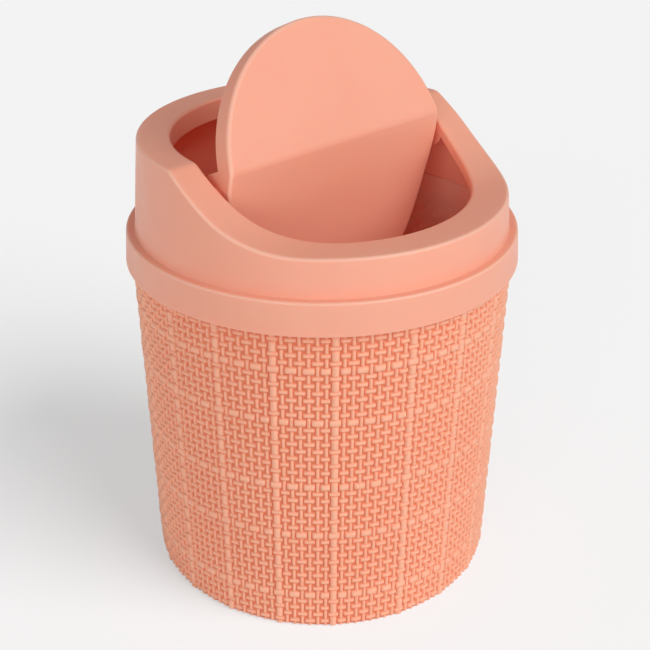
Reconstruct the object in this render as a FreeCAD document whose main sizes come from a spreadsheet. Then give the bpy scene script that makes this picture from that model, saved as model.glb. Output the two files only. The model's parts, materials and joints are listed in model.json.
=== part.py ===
import FreeCAD, Part
import os
import Sketcher
from FreeCAD import Placement, Rotation, Vector

# A desktop bin of moulded plastic: a tapered bucket, a collar that presses over the bucket's neck,
# and a bent round flap that swings in the collar's mouth. Millimetres, +Z up, the front is -Y, and
# the origin is under the middle of the base. The flap stands open, as it does when the bin is in use.

PARTS_FOLDER = "parts"

SIZES = (
    ("base_radius", 60.2, "bucket outside, at the foot"),
    ("rim_height", 122.4, "bucket rim, which carries the collar"),
    ("neck_radius", 63.1, "plain neck under the collar's skirt"),
    ("neck_wall", 1.6, "neck wall at the rim"),
    ("neck_height", 7.4, "neck, from the shoulder to the rim"),
    ("shoulder_step", 0.65, "how far the top of the tapered wall stands out from the neck"),
    ("bucket_wall", 2.2, "bucket wall at the floor"),
    ("floor_thickness", 2.4, "bucket floor"),
    ("foot_recess", 1.2, "depth of the hollow under the floor"),
    ("foot_width", 5.0, "width of the foot ring"),
    ("foot_round", 0.8, "rounding of the foot's outer edge"),
    ("floor_round", 3.0, "rounding inside, between wall and floor"),
    ("strand_pitch", 2.7, "moulded weave, from one row of strands to the next"),
    ("strand_width", 2.2, "wide strand of the weave"),
    ("weave_relief", 0.45, "how far the wide strands stand out of the fields between them"),
    ("weave_border", 2.0, "plain edge below and above the weave"),
    ("flange_thickness", 1.8, "flange that sits on the bucket rim"),
    ("flange_round", 0.8, "rounding of the flange's outer edge"),
    ("skirt_clearance", 0.5, "radial gap between neck and skirt"),
    ("skirt_wall", 1.4, "skirt wall"),
    ("skirt_length", 10.9, "skirt, from the flange top to its lower edge"),
    ("skirt_flare", 0.7, "how much wider the skirt is at its lower edge"),
    ("flange_ledge", 2.9, "flange, from its edge in to the collar wall"),
    ("collar_taper", 2.3, "how much narrower the collar wall is at the top"),
    ("collar_wall", 1.6, "collar wall"),
    ("top_rise", 30.8, "level back of the collar's top, above the flange"),
    ("front_rise", 12.3, "level front of the collar's top, above the flange"),
    ("crease_offset", 3.5, "where the top starts to fall, behind the middle"),
    ("crease_round", 4.0, "rounding of that crease"),
    ("slope_angle", 33.0, "fall of the top in front of the crease, in degrees"),
    ("sweep_radius", 55.0, "hollow curve from the fall to the level front"),
    ("roof_thickness", 1.8, "collar's top, measured upright"),
    ("rim_round", 1.0, "rounding of the collar's top edges"),
    ("rim_width", 10.8, "collar's top, from its edge in to the round mouth"),
    ("lip_wall", 1.6, "lip turned down round the mouth"),
    ("lip_depth", 7.5, "depth of the lip below the top"),
    ("pivot_offset", -2.0, "pivot axis, in front of the middle"),
    ("pivot_drop", 10.8, "pivot axis below the collar's top"),
    ("pin_radius", 2.0, "pivot pin"),
    ("pin_clearance", 0.06, "radial running clearance of the pin"),
    ("pin_reach", 0.4, "how far the pin stands out of the lug"),
    ("lug_setback", 0.05, "lug face behind the edge of the mouth"),
    ("lug_thickness", 1.6, "bearing lug"),
    ("lug_half_width", 6.0, "half the width of a bearing lug"),
    ("mouth_gap", 2.5, "gap between the flap and the mouth"),
    ("flap_thickness", 1.6, "flap plate, measured upright"),
    ("flap_edge_wall", 1.6, "turned-down edge of the flap"),
    ("flap_edge_depth", 6.8, "depth of the turned-down edge"),
    ("flap_setback", 3.0, "how much more gap the flap has at the back than at the front"),
    ("flap_round", 1.2, "rounding of the flap's top edge"),
    ("ear_thickness", 2.0, "ear that hangs from the flap's edge"),
    ("ear_half_width", 7.5, "half the width of an ear"),
    ("boss_radius", 3.2, "boss round the foot of the pin"),
    ("boss_gap", 0.75, "gap between boss and lug"),
    ("open_angle", 65.0, "how far the flap stands open, in degrees"),
)

# The most of a wall's thickness that the rounding of its edge may take, and how far trimmed stock
# runs past the finished shape.
ROUND_SHARE = 0.8
HEADROOM = 8.0

# The moulded weave's strands are counted round the wall, from an upright one at this angle from +X,
# and up from the foot. A group of fields between wide upright strands has its first strand, how many
# strands a field spans, how many fields there are, and how many strands they are apart.
UPRIGHT_STRANDS = 144
FIRST_UPRIGHT = -147.0
WIDE_ROWS = (5, 14, 21, 30, 37)
FIELD_GROUPS = (
    ("front_fields", 16, 7, 9, 7),
    ("back_fields", 88, 7, 9, 7),
    ("broad_fields", 7, 9, 2, 72),
)

document = FreeCAD.newDocument("DeskBin")
sheet = document.addObject("Spreadsheet::Sheet", "Sizes")
for row, (alias, size, note) in enumerate(SIZES, start=1):
    sheet.set(f"A{row}", alias)
    sheet.set(f"B{row}", str(size))
    sheet.set(f"C{row}", note)
    sheet.setAlias(f"B{row}", alias)
document.recompute()

# Lengths that follow from the sheet, as expressions.
FLOOR_TOP = "(Sizes.foot_recess + Sizes.floor_thickness)"
NECK_INSIDE = "(Sizes.neck_radius - Sizes.neck_wall)"
SHOULDER_RADIUS = "(Sizes.neck_radius + Sizes.shoulder_step)"
SHOULDER_HEIGHT = "(Sizes.rim_height - Sizes.neck_height)"
FLANGE_TOP = "(Sizes.rim_height + Sizes.flange_thickness)"
SKIRT_INSIDE = "(Sizes.neck_radius + Sizes.skirt_clearance)"
FLANGE_RADIUS = f"({SKIRT_INSIDE} + Sizes.skirt_wall)"
SKIRT_BOTTOM = f"({FLANGE_TOP} - Sizes.skirt_length)"
COLLAR_BASE = f"({FLANGE_RADIUS} - Sizes.flange_ledge)"
COLLAR_TOP = f"({COLLAR_BASE} - Sizes.collar_taper)"
TOP_HEIGHT = f"({FLANGE_TOP} + Sizes.top_rise)"
FRONT_HEIGHT = f"({FLANGE_TOP} + Sizes.front_rise)"
CEILING = f"({TOP_HEIGHT} + {HEADROOM})"
REACH = f"({FLANGE_RADIUS} + {HEADROOM})"
WELL_OUTSIDE = f"(4 * {REACH})"
WALL_AT_CEILING = f"({COLLAR_TOP} - Sizes.collar_taper * {HEADROOM} / Sizes.top_rise)"
MOUTH_RADIUS = f"({COLLAR_TOP} - Sizes.rim_width)"
LIP_OUTSIDE = f"({MOUTH_RADIUS} + Sizes.lip_wall)"
PIVOT_HEIGHT = f"({TOP_HEIGHT} - Sizes.pivot_drop)"
LUG_FACE = f"({MOUTH_RADIUS} + Sizes.lug_setback)"
LUG_BACK = f"({LUG_FACE} + Sizes.lug_thickness)"
FLAP_RADIUS = f"({MOUTH_RADIUS} - Sizes.mouth_gap)"
EAR_INSIDE = f"({FLAP_RADIUS} - Sizes.ear_thickness)"
BOSS_FACE = f"({LUG_FACE} - Sizes.boss_gap)"
PIN_END = f"({LUG_BACK} + Sizes.pin_reach)"
PIN_HOLE = "(Sizes.pin_radius + Sizes.pin_clearance)"
RIM_ROUND = f"min(Sizes.rim_round; {ROUND_SHARE} * Sizes.roof_thickness)"
FLANGE_ROUND = f"min(Sizes.flange_round; {ROUND_SHARE} * Sizes.flange_thickness)"
FLAP_ROUND = f"min(Sizes.flap_round; {ROUND_SHARE} * Sizes.flap_thickness)"
STRAND_ANGLE = 360 / UPRIGHT_STRANDS
WIDE_STRAND_ANGLE = "(Sizes.strand_width / Sizes.base_radius * 180 / pi)"

# Where the top's crease and sweep touch the straight fall between them.
CREASE_RUN = "(Sizes.crease_round * tan(Sizes.slope_angle / 2))"
SWEEP_RUN = "(Sizes.sweep_radius * tan(Sizes.slope_angle / 2))"
FALL_FOOT = "(Sizes.crease_offset - (Sizes.top_rise - Sizes.front_rise) / tan(Sizes.slope_angle))"
ALONG = "cos(Sizes.slope_angle)"
DOWN = "sin(Sizes.slope_angle)"

STRAIGHT, ROUND_LEFT, ROUND_RIGHT = "straight", "round_left", "round_right"
FULL_TURN = "360"


def measure(expression):
    """The value of an expression in the sheet's names."""
    return float(sheet.evalExpression(expression))


def origin_plane(body, role):
    """One of a body's own origin planes or axes, by its role."""
    return next(item for item in body.Origin.OriginFeatures if item.Role == role)


def new_body(label):
    """An empty body that becomes the node of that name."""
    body = document.addObject("PartDesign::Body", label)
    body.Label = label
    return body


def new_sketch(body, name, role, lift=None, turn=0.0):
    """A sketch on an origin plane, lifted off it by an expression or turned on its upright axis."""
    sketch = body.newObject("Sketcher::SketchObject", name)
    sketch.AttachmentSupport = (origin_plane(body, role), [""])
    sketch.MapMode = "FlatFace"
    sketch.AttachmentOffset = Placement(Vector(), Rotation(Vector(0, 1, 0), turn))
    if lift:
        sketch.setExpression("AttachmentOffset.Base.z", lift)
    return sketch


def bind(sketch, kind, *terms, expression):
    """Add one dimension to a sketch and tie it to an expression."""
    index = sketch.addConstraint(Sketcher.Constraint(kind, *terms, measure(expression)))
    sketch.setExpression(f"Constraints[{index}]", expression)


def pin_point(sketch, curve, end, across, up):
    """Hold a point of a curve at a place given by two expressions."""
    for kind, axis, expression in (("DistanceX", -2, across), ("DistanceY", -1, up)):
        value = measure(expression)
        if value == 0:
            sketch.addConstraint(Sketcher.Constraint("PointOnObject", curve, end, axis))
        elif value > 0:
            bind(sketch, kind, -1, 1, curve, end, expression=expression)
        else:
            bind(sketch, kind, curve, end, -1, 1, expression=f"-({expression})")


def arc_middle(start, end, radius, turn):
    """A point half way along the shorter arc from start to end."""
    chord = end - start
    half = chord.Length / 2
    rise = radius - (radius ** 2 - half ** 2) ** 0.5
    right = Vector(chord.y, -chord.x, 0).normalize()
    return (start + end) / 2 + right * (rise if turn == ROUND_LEFT else -rise)


def draw_outline(sketch, corners):
    """Draw a closed outline. Each corner is (across, up, edge to the next corner, its radius)."""
    places = [Vector(measure(across), measure(up), 0) for across, up, *_ in corners]
    first = sketch.GeometryCount
    ends = []
    for index, (_, _, *edge) in enumerate(corners):
        start, end = places[index], places[(index + 1) % len(corners)]
        turn = edge[0] if edge else STRAIGHT
        if turn == STRAIGHT:
            curve = Part.LineSegment(start, end)
        else:
            curve = Part.Arc(start, arc_middle(start, end, measure(edge[1]), turn), end)
        sketch.addGeometry(curve, False)
        ends.append((2, 1) if turn == ROUND_RIGHT else (1, 2))
    for index, (across, up, *edge) in enumerate(corners):
        follower = (index + 1) % len(corners)
        curve = first + index
        sketch.addConstraint(
            Sketcher.Constraint("Coincident", curve, ends[index][1], first + follower, ends[follower][0]))
        pin_point(sketch, curve, ends[index][0], across, up)
        if edge:
            bind(sketch, "Radius", curve, expression=edge[1])


def draw_circle(sketch, radius, across="0", up="0"):
    """Draw a circle."""
    circle = Part.Circle(Vector(measure(across), measure(up), 0), Vector(0, 0, 1), measure(radius))
    index = sketch.addGeometry(circle, False)
    pin_point(sketch, index, 3, across, up)
    bind(sketch, "Radius", index, expression=radius)


def feature(body, kind, name, sketch, **settings):
    """Add a feature to a body from its sketch, with settings that are expressions or plain flags."""
    item = body.newObject(f"PartDesign::{kind}", name)
    item.Profile = sketch
    for setting, value in settings.items():
        if isinstance(value, str):
            item.setExpression(setting, value)
        else:
            setattr(item, setting, value)
    document.recompute()
    return item


def turned(body, kind, name, *outlines, middle=0.0, angle=FULL_TURN):
    """Turn outlines, drawn as radius and height, all round the upright axis or about a middle angle."""
    sketch = new_sketch(body, f"{name}_outline", "XZ_Plane", turn=middle)
    for corners in outlines:
        draw_outline(sketch, corners)
    item = body.newObject(f"PartDesign::{kind}", name)
    item.Profile = sketch
    item.ReferenceAxis = (sketch, ["V_Axis"])
    item.Midplane = angle != FULL_TURN
    item.setExpression("Angle", angle)
    document.recompute()
    return item


def above_top(body, name, drop, across, up):
    """A sketch of all that lies above the bin's top line, or above a line that far below it."""
    level = f"({TOP_HEIGHT} - {drop})"
    front = f"({FRONT_HEIGHT} - {drop})"
    line = [
        (REACH, level),
        (f"Sizes.crease_offset + {CREASE_RUN}", level, ROUND_LEFT, "Sizes.crease_round"),
        (f"Sizes.crease_offset - {CREASE_RUN} * {ALONG}", f"{level} - {CREASE_RUN} * {DOWN}"),
        (f"{FALL_FOOT} + {SWEEP_RUN} * {ALONG}", f"{front} + {SWEEP_RUN} * {DOWN}",
         ROUND_RIGHT, "Sizes.sweep_radius"),
        (f"{FALL_FOOT} - {SWEEP_RUN}", front),
        (f"-{REACH}", front),
        (f"-{REACH}", CEILING),
        (REACH, CEILING),
    ]
    sketch = new_sketch(body, f"{name}_outline", "YZ_Plane")
    draw_outline(sketch, [(f"{y} - {across}", f"{z} - {up}", *edge) for y, z, *edge in line])
    return sketch


def whole_width(body, kind, name, sketch):
    """Extrude a side view across the whole bin."""
    return feature(body, kind, name, sketch, Midplane=True, Length=f"2 * {REACH}")


def upright_cut(body, name, sketch):
    """Cut what a plan sketch holds upright through all of a body."""
    return feature(body, "Pocket", name, sketch, Midplane=True, Length=f"2 * {WELL_OUTSIDE}")


def round_plan(body, name, *radii):
    """A plan sketch of a disc, or of the ring between two radii."""
    sketch = new_sketch(body, f"{name}_outline", "XY_Plane")
    for radius in radii:
        draw_circle(sketch, radius)
    return sketch


def flap_plan(body, name, inset):
    """A plan sketch of the flap, that far inside its edge: a round front, and a back set forward."""
    radius = f"({FLAP_RADIUS} - {inset})"
    side = f"sqrt({radius} ^ 2 - (Sizes.flap_setback / 2) ^ 2)"
    middle = "-Sizes.pivot_offset - Sizes.flap_setback / 2"
    sketch = new_sketch(body, f"{name}_outline", "XY_Plane")
    draw_outline(sketch, [(side, middle, ROUND_LEFT, radius), (f"-{side}", middle, ROUND_LEFT, radius)])
    return sketch


def trim_to_flap(body, name):
    """Cut off all that lies outside the flap's edge."""
    sketch = flap_plan(body, name, "0")
    draw_circle(sketch, WELL_OUTSIDE)
    return upright_cut(body, name, sketch)


def hanging_tab(half_width, top, across, up):
    """The outline of a tab that hangs down to a round end about the pivot axis."""
    return [
        (f"{across} + {half_width}", top),
        (f"{across} - {half_width}", top),
        (f"{across} - {half_width}", up, ROUND_LEFT, half_width),
        (across, f"{up} - {half_width}", ROUND_LEFT, half_width),
        (f"{across} + {half_width}", up),
    ]


def mirrored_pair(body, name, item):
    """Repeat a feature on the other side of the bin."""
    twin = body.newObject("PartDesign::Mirrored", name)
    twin.Originals = [item]
    twin.MirrorPlane = (origin_plane(body, "YZ_Plane"), [""])
    body.Tip = twin
    document.recompute()
    return twin


def round_edges(body, name, radius, wanted):
    """Round those edges of a body for which wanted(edge) holds."""
    base = body.Tip
    names = [f"Edge{n}" for n, edge in enumerate(base.Shape.Edges, start=1) if wanted(edge)]
    item = body.newObject("PartDesign::Fillet", name)
    item.Base = (base, names)
    item.setExpression("Radius", radius)
    document.recompute()
    return item


def ring_edge(radius, height):
    """A test for the circular edge of that radius at that height."""
    tolerance = 1e-4

    def wanted(edge):
        circle = edge.Curve
        return (isinstance(circle, Part.Circle) and abs(circle.Radius - measure(radius)) < tolerance
                and abs(circle.Center.z - measure(height)) < tolerance)

    return wanted


def top_edges(profile):
    """A test for the curved edges that follow the bin's top line, as drawn in a side view."""
    tolerance = 1e-3
    samples = 5

    def wanted(edge):
        if isinstance(edge.Curve, Part.Line):
            return False
        points = edge.discretize(samples)
        side_view = [Part.Vertex(0, point.y, point.z) for point in points]
        return all(profile.distToShape(spot)[0] < tolerance for spot in side_view)

    return wanted


def outside_at(height):
    """The radius of the bucket's tapered wall at a height."""
    return f"(Sizes.base_radius + ({SHOULDER_RADIUS} - Sizes.base_radius) * {height} / {SHOULDER_HEIGHT})"


def weave_bands():
    """The lower and upper ends of the weave's fields, between the wide rows that fit on the wall."""
    top = f"({SHOULDER_HEIGHT} - Sizes.weave_border)"
    low = "Sizes.weave_border"
    bands = []
    for row in WIDE_ROWS:
        under = f"({row} * Sizes.strand_pitch - Sizes.strand_width / 2)"
        over = f"({row} * Sizes.strand_pitch + Sizes.strand_width / 2)"
        if measure(under) > measure(low) and measure(over) < measure(top):
            bands.append((low, under))
            low = over
    return [*bands, (low, top)]


def weave_fields(body, name, first, strands, copies, apart):
    """Sink the fields of a group between their wide strands."""
    outlines = [[
        (f"{outside_at(low)} - Sizes.weave_relief", low),
        (REACH, low),
        (REACH, high),
        (f"{outside_at(high)} - Sizes.weave_relief", high),
    ] for low, high in weave_bands()]
    middle = FIRST_UPRIGHT + (first + strands / 2) * STRAND_ANGLE
    angle = f"{strands * STRAND_ANGLE} - {WIDE_STRAND_ANGLE}"
    field = turned(body, "Groove", f"{name}_first", *outlines, middle=middle, angle=angle)
    pattern = body.newObject("PartDesign::PolarPattern", name)
    pattern.Originals = [field]
    pattern.Axis = (origin_plane(body, "Z_Axis"), [""])
    pattern.Angle = (copies - 1) * apart * STRAND_ANGLE
    pattern.Occurrences = copies
    body.Tip = pattern
    document.recompute()


def build_bucket():
    """The tapered pail with its plain neck, a foot ring and the wide strands of its moulded weave."""
    body = new_body("bucket")
    foot_inside = "Sizes.base_radius - Sizes.foot_width"
    turned(body, "Revolution", "pail", [
        ("0", "Sizes.foot_recess"),
        (foot_inside, "Sizes.foot_recess"),
        (foot_inside, "0"),
        ("Sizes.base_radius", "0"),
        (SHOULDER_RADIUS, SHOULDER_HEIGHT),
        ("Sizes.neck_radius", SHOULDER_HEIGHT),
        ("Sizes.neck_radius", "Sizes.rim_height"),
        (NECK_INSIDE, "Sizes.rim_height"),
        ("Sizes.base_radius - Sizes.bucket_wall", FLOOR_TOP),
        ("0", FLOOR_TOP),
    ])
    round_edges(body, "foot_rounding", "Sizes.foot_round", ring_edge("Sizes.base_radius", "0"))
    inside_corner = ring_edge("Sizes.base_radius - Sizes.bucket_wall", FLOOR_TOP)
    round_edges(body, "floor_rounding", "Sizes.floor_round", inside_corner)
    for group in FIELD_GROUPS:
        weave_fields(body, *group)
    return body


def build_collar():
    """The ring that sits on the bucket: skirt, flange, wall, sloping top, lip and bearing lugs."""
    body = new_body("collar")
    at_origin = ("0", "0")
    lip_stock = above_top(body, "lip", "Sizes.lip_depth", *at_origin)
    whole_width(body, "Pad", "lip", lip_stock)
    upright_cut(body, "lip_outside", round_plan(body, "lip_outside", LIP_OUTSIDE, WELL_OUTSIDE))

    lug_sketch = new_sketch(body, "lug_outline", "YZ_Plane", lift=LUG_FACE)
    pivot = ("Sizes.pivot_offset", PIVOT_HEIGHT)
    draw_outline(lug_sketch, hanging_tab("Sizes.lug_half_width", CEILING, *pivot))
    lug = feature(body, "Pad", "lug", lug_sketch, Length="Sizes.lug_thickness")
    mirrored_pair(body, "lug_pair", lug)

    roof_stock = above_top(body, "roof", "Sizes.roof_thickness", *at_origin)
    whole_width(body, "Pad", "roof", roof_stock)
    turned(body, "Groove", "roof_outside", [
        (COLLAR_BASE, FLANGE_TOP),
        (WELL_OUTSIDE, FLANGE_TOP),
        (WELL_OUTSIDE, f"{CEILING} + {HEADROOM}"),
        (WALL_AT_CEILING, f"{CEILING} + {HEADROOM}"),
        (WALL_AT_CEILING, CEILING),
    ])
    turned(body, "Revolution", "wall", [
        (COLLAR_BASE, FLANGE_TOP),
        (WALL_AT_CEILING, CEILING),
        (f"{WALL_AT_CEILING} - Sizes.collar_wall", CEILING),
        (f"{COLLAR_BASE} - Sizes.collar_wall", "Sizes.rim_height"),
        (SKIRT_INSIDE, "Sizes.rim_height"),
        (f"{SKIRT_INSIDE} + Sizes.skirt_flare", SKIRT_BOTTOM),
        (f"{FLANGE_RADIUS} + Sizes.skirt_flare", SKIRT_BOTTOM),
        (FLANGE_RADIUS, FLANGE_TOP),
    ])
    top_line = above_top(body, "top", "0", *at_origin)
    whole_width(body, "Pocket", "top", top_line)
    upright_cut(body, "mouth", round_plan(body, "mouth", MOUTH_RADIUS))

    hole_sketch = new_sketch(body, "bearing_outline", "YZ_Plane")
    draw_circle(hole_sketch, PIN_HOLE, *pivot)
    feature(body, "Pocket", "bearings", hole_sketch, Midplane=True, Length=f"2 * {PIN_END}")
    round_edges(body, "rim_rounding", RIM_ROUND, top_edges(top_line.Shape))
    round_edges(body, "flange_rounding", FLANGE_ROUND, ring_edge(FLANGE_RADIUS, FLANGE_TOP))
    return body


def build_flap():
    """The bent round flap, made closed about its own pivot axis and then swung open."""
    body = new_body("swing_flap")
    pivot = ("Sizes.pivot_offset", PIVOT_HEIGHT)
    edge_stock = above_top(body, "edge", "Sizes.flap_edge_depth", *pivot)
    whole_width(body, "Pad", "edge", edge_stock)
    trim_to_flap(body, "edge_outside")
    upright_cut(body, "edge_inside", flap_plan(body, "edge_inside", "Sizes.flap_edge_wall"))

    plate_stock = above_top(body, "plate", "Sizes.flap_thickness", *pivot)
    whole_width(body, "Pad", "plate", plate_stock)
    ear_sketch = new_sketch(body, "ear_outline", "YZ_Plane", lift=EAR_INSIDE)
    ear_top = f"{CEILING} - {PIVOT_HEIGHT}"
    draw_outline(ear_sketch, hanging_tab("Sizes.ear_half_width", ear_top, "0", "0"))
    ear = feature(body, "Pad", "ear", ear_sketch, Length="Sizes.ear_thickness")
    mirrored_pair(body, "ear_pair", ear)
    trim_to_flap(body, "plate_outside")
    top_line = above_top(body, "top", "0", *pivot)
    whole_width(body, "Pocket", "top", top_line)
    round_edges(body, "edge_rounding", FLAP_ROUND, top_edges(top_line.Shape))

    for name, radius, end in (("boss", "Sizes.boss_radius", BOSS_FACE), ("pin", "Sizes.pin_radius", PIN_END)):
        sketch = new_sketch(body, f"{name}_outline", "YZ_Plane", lift=EAR_INSIDE)
        draw_circle(sketch, radius)
        item = feature(body, "Pad", name, sketch, Length=f"{end} - {EAR_INSIDE}")
        mirrored_pair(body, f"{name}_pair", item)

    body.Placement = Placement(Vector(), Rotation(Vector(1, 0, 0), measure("Sizes.open_angle")))
    body.setExpression("Placement.Base.y", pivot[0])
    body.setExpression("Placement.Base.z", pivot[1])
    body.setExpression("Placement.Rotation.Angle", "Sizes.open_angle")
    document.recompute()
    return body


def check_model(bodies):
    """Stop before anything is written if a feature failed or a piece isn't one sound solid."""
    for item in document.Objects:
        if {"Invalid", "Error"} & set(item.State):
            raise RuntimeError(f"{item.Label} failed: {item.State}")
    for body in bodies:
        shape = body.Shape
        if shape.isNull() or not shape.isValid() or len(shape.Solids) != 1:
            raise RuntimeError(f"{body.Label} is not one valid solid")


bodies = [build_bucket(), build_collar(), build_flap()]
document.recompute()
check_model(bodies)
os.makedirs(PARTS_FOLDER, exist_ok=True)
for body in bodies:
    body.Shape.exportStep(os.path.join(PARTS_FOLDER, f"{body.Label}.step"))
    print(f"{body.Label}: {body.Shape.Volume / 1000:.1f} cm3, {len(body.Shape.Faces)} faces")
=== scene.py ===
import json
import logging
import math
from contextlib import contextmanager
from dataclasses import dataclass
from dataclasses import field
from enum import Enum
from typing import Callable
from typing import Iterator
from typing import Sequence

import bpy
import numpy as np
from mathutils import Matrix
from mathutils import Vector


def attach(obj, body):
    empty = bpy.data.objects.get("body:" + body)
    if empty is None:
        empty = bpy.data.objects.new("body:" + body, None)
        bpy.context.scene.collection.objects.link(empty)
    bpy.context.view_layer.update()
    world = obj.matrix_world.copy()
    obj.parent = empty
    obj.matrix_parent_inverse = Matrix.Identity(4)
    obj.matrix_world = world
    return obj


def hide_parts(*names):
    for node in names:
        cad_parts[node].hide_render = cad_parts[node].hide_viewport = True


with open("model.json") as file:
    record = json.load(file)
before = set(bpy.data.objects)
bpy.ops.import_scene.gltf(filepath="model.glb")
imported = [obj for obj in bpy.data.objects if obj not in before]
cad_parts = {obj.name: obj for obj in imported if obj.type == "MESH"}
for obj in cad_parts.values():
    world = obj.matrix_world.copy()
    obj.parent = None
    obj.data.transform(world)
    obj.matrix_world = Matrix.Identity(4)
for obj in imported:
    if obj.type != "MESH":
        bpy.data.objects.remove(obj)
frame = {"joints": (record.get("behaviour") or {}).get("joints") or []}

# A desktop bin of coral plastic, in metres: a bucket with a moulded basket weave, a collar with a
# sloping top, and a bent round flap that stands open in the collar's mouth. The front is -Y.

LOG = logging.getLogger("desk_bin")
MM = 0.001
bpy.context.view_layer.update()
# The map that a piece's colours are laid out on, the attribute that holds a weave's height, which
# also sets the painted shade in its recesses, and the attribute that holds the share of painted
# highlight along a moulded edge.
COLOUR_MAP = "OFBake"
RELIEF = "relief"
PAINTED_EDGE_HIGHLIGHT = "painted_edge_highlight"

Array = np.ndarray
Piece = bpy.types.Object
Colour = tuple[float, float, float]
Range = tuple[float, float]
Shaper = Callable[[Array], Array]


class Node(Enum):
    """The solids of the frame that the pieces stand for."""

    BUCKET = "bucket"
    COLLAR = "collar"
    FLAP = "swing_flap"


class Body(Enum):
    """The bodies of the frame that the pieces ride on."""

    BIN = "bin"
    COLLAR = "collar"
    FLAP = "flap"


class Side(Enum):
    """A side of the bin, with the sign of its X coordinates."""

    LEFT = -1
    RIGHT = 1


class Ends(Enum):
    """How a lofted piece ends: closed by two faces, or joined from its last loop to its first."""

    CAPPED = "NGON"
    JOINED = "NOTHING"


@dataclass(frozen=True)
class Corner:
    """A corner of an outline, at a distance across and a height, with its rounding."""

    across: float
    up: float
    rounding: float = 0.0


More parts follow.
